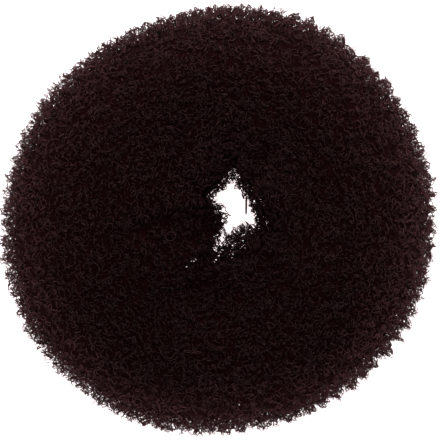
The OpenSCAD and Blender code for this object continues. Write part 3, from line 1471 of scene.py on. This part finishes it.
@dataclass
class LooseLoops:
    """Single loops of filament that stand out of the courses, as rings on top and spikes at the edges.

    Attributes:
        grid: the skin that the loops stand on.
        wales: the tufts that they follow.
        creases: the folds that they follow.
        thickness: radius of the filament of a lying loop and of a standing one.
        sides: sides of the filament's tube.
        steps: lengths of tube in a lying loop and in a standing one.
        tilt: how far a lying loop leans, as a share of lying flat.
        slant: how far a standing loop leans, as a share of standing straight.
        strays: each stray strand's middle in millimetres, its half length and half width in
            millimetres, its direction seen from above in degrees, its painted light, and the radius of
            its filament in millimetres.
        strand_steps: lengths of tube in a stray strand.
        specks: X and Y of the few pale specks of painted light and their size, in millimetres.
        speck_form: half length and half width of a speck in X, Y and Z, as shares of its size.
        spare: places that are drawn for each loop that is kept.
        darkness: how strongly the loops' shades crowd at the dark end.
        lowest: least height of their tubes over the level that the ring rests on.
        seed: start of the random draws.
    """

    grid: SkinGrid
    wales: Wales
    creases: Creases
    thickness: Pair = (0.127 * MM, 0.066 * MM)
    sides: int = 3
    steps: tuple[int, int] = (7, 6)
    tilt: float = 0.9
    slant: float = 0.9
    strays: Table = (
        (5.65, 3.1, 22.0, 1.95, 0.08, -91.0, 0.0, 0.15),
        (4.95, 4.9, 22.0, 0.6, 0.05, -70.0, 0.0, 0.11),
        (-5.3, -26.6, 34.9, 1.9, 0.22, -4.0, 0.08, 0.08),
        (-9.8, -3.3, 33.2, 1.1, 0.90, 20.0, 0.15, 0.08),
        (14.5, 22.0, 34.6, 1.2, 0.95, 70.0, 0.15, 0.08),
        (-25.0, 14.0, 34.0, 1.1, 0.80, 40.0, 0.15, 0.08),
    )
    strand_steps: int = 12
    specks: Table = (
        (4.1, -37.6, 0.15),
        (-5.1, -8.4, 0.17),
        (-4.7, -8.0, 0.10),
        (-5.6, -8.4, 0.10),
        (-6.6, -9.5, 0.15),
    )
    speck_form: Table = ((0.98, 0.2, 0.0), (-0.12, 0.6, 0.0))
    spare: int = 4
    darkness: float = 1.3
    lowest: float = 0.02 * MM
    seed: int = 23

    def __post_init__(self) -> None:
        """Start the random draws."""
        self.random = np.random.default_rng(self.seed)

    def scatter(self, kind: LoopKind) -> Spots:
        """Spread the loops of one kind evenly over their belt.

        Args:
            kind: the kind of loop.

        Returns:
            Their places on the skin.
        """
        draw = self.random
        many = self.spare * kind.count
        spots = self.grid.read(draw.uniform(0, 1, many), draw.uniform(kind.start, kind.end, many))
        far = np.hypot(spots.place[:, 0], spots.place[:, 1])
        kept = np.flatnonzero(draw.uniform(0, 1, many) < far / far.max())[:kind.count]
        return Spots(spots.place[kept], spots.normal[kept])

    def loops(
        self,
        name: str,
        middle: np.ndarray,
        half: tuple[np.ndarray, np.ndarray],
        thickness: np.ndarray,
        steps: int,
        shade: np.ndarray,
        light: np.ndarray,
    ) -> Piece:
        """Make loops of filament as one piece.

        Args:
            name: the piece's name.
            middle: the loops' middles.
            half: half of each loop's length and half of its width, as vectors.
            thickness: radius of each loop's filament.
            steps: lengths of tube in one loop.
            shade: each loop's shade.
            light: the light painted on each loop.

        Returns:
            The loops.
        """
        long, short = half
        angle = (np.arange(steps) * 2 * math.pi / steps)[None, :, None]
        points = middle[:, None] + np.cos(angle) * long[:, None] + np.sin(angle) * short[:, None]
        axis = np.broadcast_to(unit(np.cross(long, short))[:, None], points.shape)
        of_each = (np.repeat(values, steps).reshape(-1, steps) for values in (thickness, shade, light))
        return spin(name, [Filament(points, axis, *of_each)], self.sides, self.lowest)

    def piece(self, kind: LoopKind) -> Piece:
        """Make the loops of one kind.

        Args:
            kind: the kind of loop.

        Returns:
            The loops.
        """
        draw = self.random
        spots = self.scatter(kind)
        count = len(spots.place)
        height = draw.uniform(*kind.lift, count) + self.wales.relief(spots)
        middle = spots.raised(height + self.creases.relief(spots))
        chance = unit(draw.normal(0, 1, (count, 3)))
        other = draw.normal(0, 1, (count, 3))
        if kind.upright:
            long = unit(spots.normal + self.slant * chance)
            short = unit(np.cross(long, other))
        else:
            axis = unit(spots.normal + self.tilt * chance)
            long = unit(np.cross(axis, other))
            short = np.cross(axis, long)
        half = draw.uniform(*kind.length, count)[:, None]
        wide = half * draw.uniform(*kind.width, count)[:, None]
        shade = draw.uniform(0, 1, count) ** self.darkness
        # Light and shade painted on each loop.
        light = self.creases.light(spots)
        # False picks the first value of a pair, for a lying loop, and True the second.
        thickness = np.full(count, self.thickness[kind.upright])
        steps = self.steps[kind.upright]
        halves = long * half, short * wide
        return self.loops("loops_" + kind.title, middle, halves, thickness, steps, shade, light)

    def stray_strands(self) -> Piece:
        """Lay the few strands that show singly.

        Returns:
            The strands.
        """
        x, y, z, length, width, degrees, light, thickness = np.array(self.strays).T
        turn = np.radians(degrees)
        level = np.zeros(len(turn))
        long = np.stack([np.cos(turn), np.sin(turn), level], -1) * length[:, None] * MM
        short = np.stack([-np.sin(turn), np.cos(turn), level], -1) * width[:, None] * MM
        middle = np.stack([x, y, z], -1) * MM
        shade = np.ones(len(turn))
        steps = self.strand_steps
        return self.loops("stray_strands", middle, (long, short), thickness * MM, steps, shade, light)

    def painted_light_specks(self) -> Piece:
        """Set the few pale specks, painted light where the floor would show through gaps in the knit.

        Returns:
            The specks, as tiny loops.
        """
        rows = np.array(self.specks) * MM
        middle = self.grid.top_at(rows[:, :2])
        middle[:, :2] = rows[:, :2]
        long, short = (rows[:, 2:] * form for form in self.speck_form)
        shade = np.ones(len(rows))
        light = np.zeros(len(rows))
        thickness = np.full(len(rows), self.thickness[1])
        return self.loops("painted_light_specks", middle, (long, short), thickness, self.steps[1], shade, light)

    def build(self) -> list[Piece]:
        """Make one piece for each kind of loop, and one for the stray strands."""
        return [self.piece(kind) for kind in LoopKind] + [self.stray_strands()]


@dataclass
class RolledCore:
    """The inner turns of the roll, kept as the CAD node that they are.

    Attributes:
        node: that node.
    """

    node: str = "rolled_core"

    def dress(self) -> None:
        """Give the CAD node the finish of pressed knit."""
        core = frame["nodes"][self.node]
        core.data.materials.clear()
        core.data.materials.append(CORE_FINISH.material())


@dataclass
class Studio:
    """A pale floor, soft lights and a camera that looks straight down.

    Attributes:
        picture_w: width that the picture takes in, at the height of the ring's rim.
        lens: focal length of the camera in millimetres.
        sight: how far the camera sees.
        aim: middle of the picture.
        floor_size: the floor's width.
        floor_drop: how far the floor lies under the ring.
        surface: the floor's own grey, and its roughness.
        tint: colour of the floor's own light.
        glow: light that the floor seems to send to the camera.
        spill: light that the floor sends to the ring.
        lamps: each lamp's name, place, width and power in watts.
        horizon: light of the sky at the horizon.
        zenith: light of the sky overhead.
    """

    picture_w: float = 92.1 * MM
    lens: float = 180.0
    sight: float = 20.0
    aim: Pair = (0.21 * MM, 0.0)
    floor_size: float = 6.0
    floor_drop: float = 0.02 * MM
    surface: Pair = (0.85, 0.9)
    tint: Triple = (1, 0.87, 0.88)
    glow: float = 1.1
    spill: float = 0.12
    lamps: tuple[tuple[str, Triple, float, float], ...] = (
        ("key", (0.08, 0.42, 0.50), 0.5, 2.6),
        ("fill", (-0.25, -0.35, 0.45), 0.6, 0.7),
        ("top", (0.0, 0.05, 0.90), 0.3, 1.6),
    )
    horizon: float = 0.30
    zenith: float = 0.03

    def floor(self) -> Piece:
        """Lay the floor.

        Returns:
            The floor.
        """
        clear_selection()
        bpy.ops.mesh.primitive_plane_add(size=self.floor_size, location=(0, 0, -self.floor_drop))
        floor = settle(bpy.context.object, "floor")
        material = bpy.data.materials.new("white_floor")
        material.use_nodes = True
        wiring = Wiring(material.node_tree)
        seen = wiring.node("LightPath").outputs["Is Camera Ray"]
        grey, rough = self.surface
        for title, value in (
            ("Base Color", (grey, grey, grey, 1)),
            ("Roughness", rough),
            ("Emission Color", (*self.tint, 1)),
            ("Emission Strength", wiring.math("MULTIPLY_ADD", seen, self.glow, self.spill)),
        ):
            wiring.put(material.node_tree.nodes["Principled BSDF"].inputs[title], value)
        floor.data.materials.append(material)
        return floor

    def lights(self) -> None:
        """Hang a large soft lamp over the back of the ring, a weak one over its front and one on top."""
        height = frame["record"]["size"]["bbox_m"][2]
        for name, place, size, power in self.lamps:
            lamp = bpy.data.lights.new(name, "AREA")
            lamp.size = size
            lamp.energy = power
            holder = bpy.data.objects.new(name, lamp)
            bpy.context.scene.collection.objects.link(holder)
            holder.location = place
            down = Vector((0, 0, height / 2)) - Vector(place)
            holder.rotation_euler = down.to_track_quat("-Z", "Y").to_euler()

    def sky(self) -> None:
        """Surround the scene with a glow that is dim overhead and pale at the horizon."""
        world = bpy.data.worlds.new("pale_room")
        bpy.context.scene.world = world
        world.use_nodes = True
        ground = world.node_tree.nodes["Background"]
        wiring = Wiring(world.node_tree)
        way = wiring.node("TexCoord").outputs["Generated"]
        upward = wiring.node("SeparateXYZ", Vector=way).outputs["Z"]
        seen = wiring.node("LightPath").outputs["Is Camera Ray"]
        light = wiring.math("MAXIMUM", seen, wiring.span(upward, self.horizon, self.zenith))
        wiring.put(ground.inputs["Color"], (1, 1, 1, 1))
        wiring.put(ground.inputs["Strength"], light)

    def camera(self) -> None:
        """Set the camera straight over the ring, with the picture's top to the back."""
        data = bpy.data.cameras.new("camera")
        data.lens = self.lens
        data.clip_end = self.sight
        holder = bpy.data.objects.new("camera", data)
        bpy.context.scene.collection.objects.link(holder)
        rim_z = frame["record"]["size"]["bbox_m"][2] / 2
        away = self.picture_w * self.lens / data.sensor_width
        holder.location = (self.aim[0], self.aim[1], rim_z + away)
        bpy.context.scene.camera = holder

    def build(self) -> None:
        """Set up floor, lights, sky and camera, with colours shown as they are."""
        self.floor()
        self.lights()
        self.sky()
        self.camera()
        bpy.context.scene.view_settings.view_transform = "Standard"


def main() -> None:
    """Build the ring's pieces in order, then the studio, and log each piece."""
    logging.basicConfig(level=logging.INFO, format="%(message)s")
    wales = Wales()
    creases = Creases()
    body = KnitBody(wales, creases)
    wall = body.build()
    body.dress(wall)
    LOG.info("%s: %d faces", wall.name, len(wall.data.polygons))
    pieces = CurledYarn(body.grid, wales, creases).build()
    loose = LooseLoops(body.grid, wales, creases)
    pieces += loose.build()
    dress_yarn(pieces, YARN_FINISH)
    specks = loose.painted_light_specks()
    dress_yarn([specks], PAINTED_LIGHT_SPECK_FINISH)
    pieces.append(specks)
    for piece in pieces:
        LOG.info("%s: %d faces", piece.name, len(piece.data.polygons))
    total = sum(2 * len(piece.data.polygons) for piece in [wall, *pieces])
    LOG.info("all together: %d triangles", total)
    RolledCore().dress()
    LOG.info("rolled_core: kept as it is")
    Studio().build()


if __name__ == "__main__":
    main()
